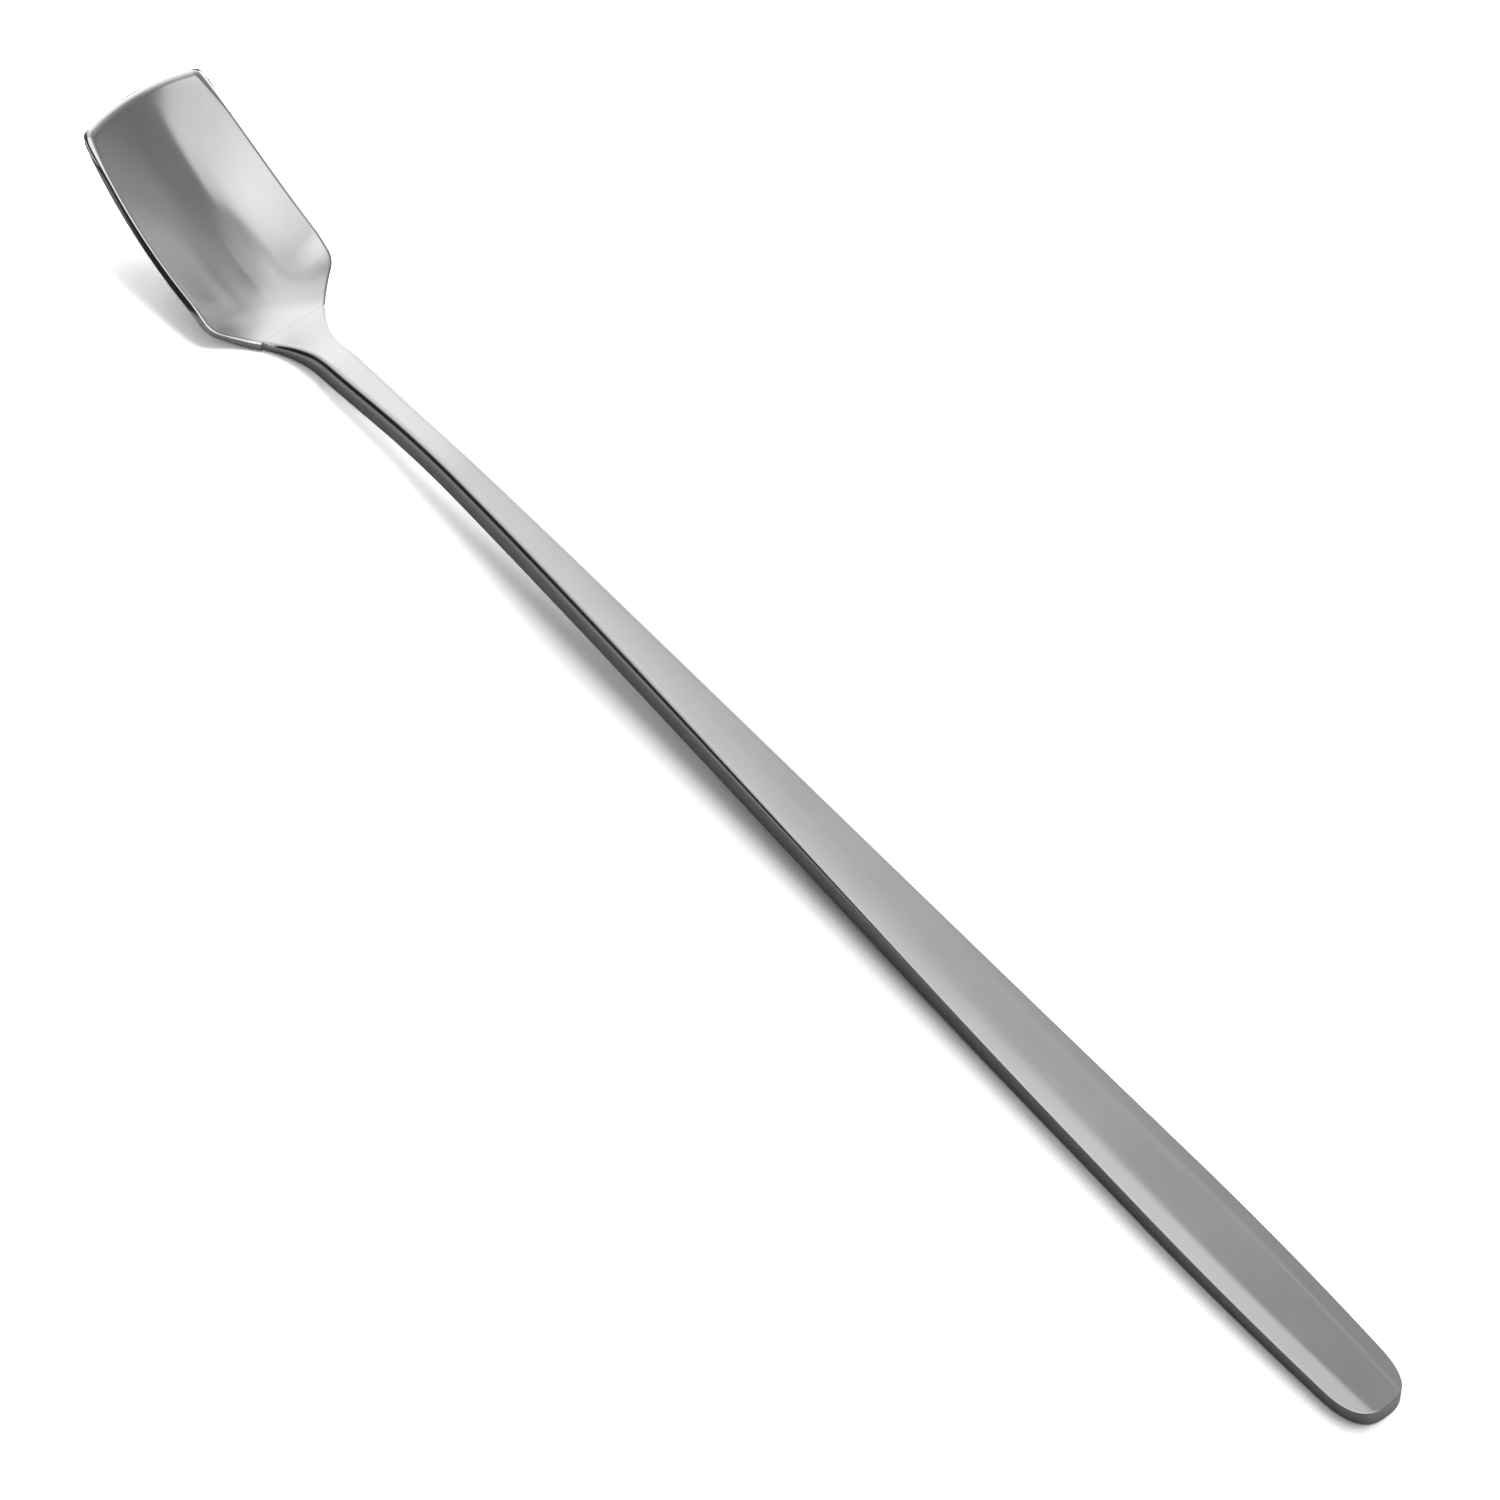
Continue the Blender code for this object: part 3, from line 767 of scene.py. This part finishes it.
def heading(azimuth, elevation, far, right):
    """A direction from an azimuth to the right of the camera's own heading, and an elevation, in degrees."""
    a = math.radians(azimuth)
    e = math.radians(elevation)
    level = far * math.cos(a) + right * math.sin(a)
    return level * math.cos(e) + Vector((0.0, 0.0, math.sin(e)))


class SPOON_OT_stage(bpy.types.Operator):
    """Make the pale floor, the soft studio light and the camera"""

    bl_idname = "spoon.stage"
    bl_label = "Stage"

    def execute(self, context):
        stage = context.scene.spoon_stage
        self.add_camera(context.scene, stage)
        self.add_floor(context.scene, stage)
        # The dark card is painted shade of the table, seen in the steel only.
        self.add_painted_shade_card(context.scene, stage)
        self.add_light(context.scene, stage)
        context.scene.view_settings.view_transform = "Standard"
        return {"FINISHED"}

    def add_camera(self, scene, stage):
        data = bpy.data.cameras.new("photo_camera")
        data.sensor_width = 36.0
        data.lens = stage.lens
        camera = bpy.data.objects.new("photo_camera", data)
        camera.location = stage.camera_at
        aim = Vector(stage.camera_to) - Vector(stage.camera_at)
        camera.rotation_euler = aim.to_track_quat("-Z", "Y").to_euler()
        scene.collection.objects.link(camera)
        scene.camera = camera

    def add_floor(self, scene, stage):
        half = stage.floor_size / 2.0
        level = CAD_BOX[0][2] - UNDER_FLOOR
        bm = bmesh.new()
        corners = [(-half, -half), (half, -half), (half, half), (-half, half)]
        bm.faces.new([bm.verts.new((x, y, level)) for x, y in corners])
        mesh = bpy.data.meshes.new("studio_floor")
        bm.to_mesh(mesh)
        bm.free()
        floor = bpy.data.objects.new("studio_floor", mesh)
        scene.collection.objects.link(floor)
        material = bpy.data.materials.new("pale_table")
        sheet = NodeSheet(material)
        path = sheet.tree.nodes.new("ShaderNodeLightPath")
        seen = Socket(sheet, path.outputs["Is Camera Ray"]) + Socket(sheet, path.outputs["Is Glossy Ray"])
        seen = seen + Socket(sheet, path.outputs["Is Transmission Ray"])
        table = (*stage.floor_colour, 1.0)
        near_end = (*[c * (1.0 + stage.end_lift) for c in stage.floor_colour], 1.0)
        painted_light_by_bowl = (*[c * (1.0 + stage.bowl_painted_light_lift) for c in stage.floor_colour], 1.0)
        place = sheet.node("ShaderNodeTexCoord", output="Object")
        # Painted light: the floor's colour grows paler from the handle's end towards the bowl, which lightens
        # the spoon's shadow there. Camera, glossy and transmission rays see it.
        back = sheet.step(sheet.dot(place, (1.0, 0.0, 0.0)), stage.lift_from, stage.lift_to)
        floor_with_painted_light = sheet.colour_mix(back, near_end, painted_light_by_bowl)
        matt = sheet.node("ShaderNodeBsdfDiffuse", None, {"Color": sheet.colour_mix(seen, table, floor_with_painted_light)})
        sheet.node("ShaderNodeOutputMaterial", None, {"Surface": matt})
        mesh.materials.append(material)

    def add_painted_shade_card(self, scene, stage):
        """Painted shade: a dark card on the table along the spoon's near side and past its end, seen in the
        steel only.
        """
        reach = stage.tent_radius
        level = CAD_BOX[0][2] - UNDER_PAINTED_SHADE
        corners = [(-reach, -reach), (reach, -reach), (reach, reach), (stage.painted_shade_end, reach)]
        corners += [(stage.painted_shade_end, 0.0), (-reach, 0.0)]
        bm = bmesh.new()
        bm.faces.new([bm.verts.new((x, y, level)) for x, y in corners])
        mesh = bpy.data.meshes.new("painted_shade_card")
        bm.to_mesh(mesh)
        bm.free()
        material = bpy.data.materials.new("painted_shade_matt")
        sheet = NodeSheet(material)
        # The card's dark colour is painted shade of the table in the steel's reflections.
        matt = sheet.node("ShaderNodeBsdfDiffuse", None, {"Color": (*stage.painted_shade_colour, 1.0)})
        sheet.node("ShaderNodeOutputMaterial", None, {"Surface": matt})
        mesh.materials.append(material)
        shade_card = bpy.data.objects.new("painted_shade_card", mesh)
        scene.collection.objects.link(shade_card)
        self.show_in_steel_only(shade_card)

    def show_in_steel_only(self, thing):
        """Hides a thing on the stage from the camera and the table, and keeps it in the reflections."""
        thing.visible_camera = False
        thing.visible_diffuse = False
        thing.visible_transmission = False
        thing.visible_shadow = False

    def add_tent(self, scene, stage, far, right):
        """A light tent round the table, which only the steel reflects: bright cloths and dark flags."""
        bm = bmesh.new()
        bmesh.ops.create_uvsphere(bm, u_segments=64, v_segments=32, radius=stage.tent_radius)
        mesh = bpy.data.meshes.new("light_tent")
        bm.to_mesh(mesh)
        bm.free()
        material = bpy.data.materials.new("tent_cloth")
        mesh.materials.append(material)
        tent = bpy.data.objects.new("light_tent", mesh)
        scene.collection.objects.link(tent)
        self.show_in_steel_only(tent)
        sheet = NodeSheet(material)
        material.cycles.emission_sampling = "NONE"
        place = sheet.node("ShaderNodeTexCoord", output="Object")
        way = sheet.node("ShaderNodeVectorMath", {"operation": "NORMALIZE"}, {0: place})
        height = sheet.dot(way, (0.0, 0.0, 1.0))
        turn = sheet.node(
            "ShaderNodeMath", {"operation": "ARCTAN2"}, {0: sheet.dot(way, far), 1: sheet.dot(way, -right)}
        )

        def edge(value, degrees):
            """Smooth step of an angle over a soft edge given in degrees."""
            return sheet.step(value, *(math.radians(angle) for angle in degrees))

        def patch(azimuth, elevation, inner, soft):
            """Share of a soft round patch at each place of the tent."""
            axis = heading(azimuth, elevation, far, right)
            outer = math.cos(math.radians(inner + soft))
            return sheet.step(sheet.dot(way, axis), outer, math.cos(math.radians(inner)))

        under_top = sheet.step(height, *(math.sin(math.radians(angle)) for angle in PANEL_TOP))
        cloth = edge(turn, PANEL_NEAR) * edge(turn, PANEL_FAR) * under_top * PANEL_LEVEL + TENT_ROOM
        for azimuth, elevation, inner, soft, level in TENT_PATCHES:
            cloth = cloth + patch(azimuth, elevation, inner, soft) * level
        cloth = cloth * (1.0 - patch(*TENT_FLAG) * FLAG_DEPTH)
        cloth = sheet.node("ShaderNodeMath", {"operation": "MAXIMUM"}, {0: cloth, 1: TENT_LEAST})
        glow = sheet.node("ShaderNodeEmission", None, {"Color": cloth})
        sheet.node("ShaderNodeOutputMaterial", None, {"Surface": glow})

    def add_light(self, scene, stage):
        aim = Vector(stage.camera_to) - Vector(stage.camera_at)
        far = Vector((aim.x, aim.y, 0.0)).normalized()
        right = Vector((far.y, -far.x, 0.0))
        world = bpy.data.worlds.new("soft_studio")
        scene.world = world
        world.cycles_visibility.glossy = False
        sheet = NodeSheet(world)
        path = sheet.tree.nodes.new("ShaderNodeLightPath")
        camera_ray = Socket(sheet, path.outputs["Is Camera Ray"])
        way = sheet.node("ShaderNodeTexCoord", output="Generated")
        side = sheet.dot(way, Vector((0.0, 1.0, 0.0))) * stage.ambient_lean + 1.0
        strength = camera_ray + side * stage.ambient * (1.0 - camera_ray)
        back = sheet.node("ShaderNodeBackground", None, {"Strength": strength})
        sheet.node("ShaderNodeOutputWorld", None, {"Surface": back})
        self.add_tent(scene, stage, far, right)
        lamp = bpy.data.lights.new("table_key", "AREA")
        lamp.shape = "DISK"
        lamp.size = stage.key_size
        lamp.energy = stage.key_energy
        key = bpy.data.objects.new("table_key", lamp)
        key.location = heading(stage.key_azimuth, stage.key_elevation, far, right) * stage.key_distance
        key.rotation_euler = (-key.location).to_track_quat("-Z", "Y").to_euler()
        key.visible_glossy = False
        scene.collection.objects.link(key)


class SPOON_PT_panel(bpy.types.Panel):
    """Lists the spoon's pieces and their sizes"""

    bl_idname = "SPOON_PT_panel"
    bl_label = "Tasting Spoon"
    bl_space_type = "VIEW_3D"
    bl_region_type = "UI"
    bl_category = "Spoon"

    def draw(self, context):
        for operator in OPERATORS:
            self.layout.operator(operator.bl_idname)
        for name in GROUPS:
            group = getattr(context.scene, name)
            box = self.layout.box()
            for prop in group.__annotations__:
                box.prop(group, prop)


OPERATORS = (SPOON_OT_bowl, SPOON_OT_handle, SPOON_OT_stage)
GROUPS = {
    "spoon_outline": SpoonOutline,
    "spoon_profile": SpoonProfile,
    "spoon_mesh": SpoonMesh,
    "spoon_finish": SteelFinish,
    "spoon_stage": StudioStage,
}
CLASSES = (*GROUPS.values(), *OPERATORS, SPOON_PT_panel)


def register():
    for cls in CLASSES:
        bpy.utils.register_class(cls)
    for name, group in GROUPS.items():
        setattr(bpy.types.Scene, name, PointerProperty(type=group))


def unregister():
    for name in GROUPS:
        delattr(bpy.types.Scene, name)
    for cls in reversed(CLASSES):
        bpy.utils.unregister_class(cls)


def main():
    register()
    bpy.ops.spoon.bowl()
    bpy.ops.spoon.handle()
    bpy.ops.spoon.stage()


if __name__ == "__main__":
    main()
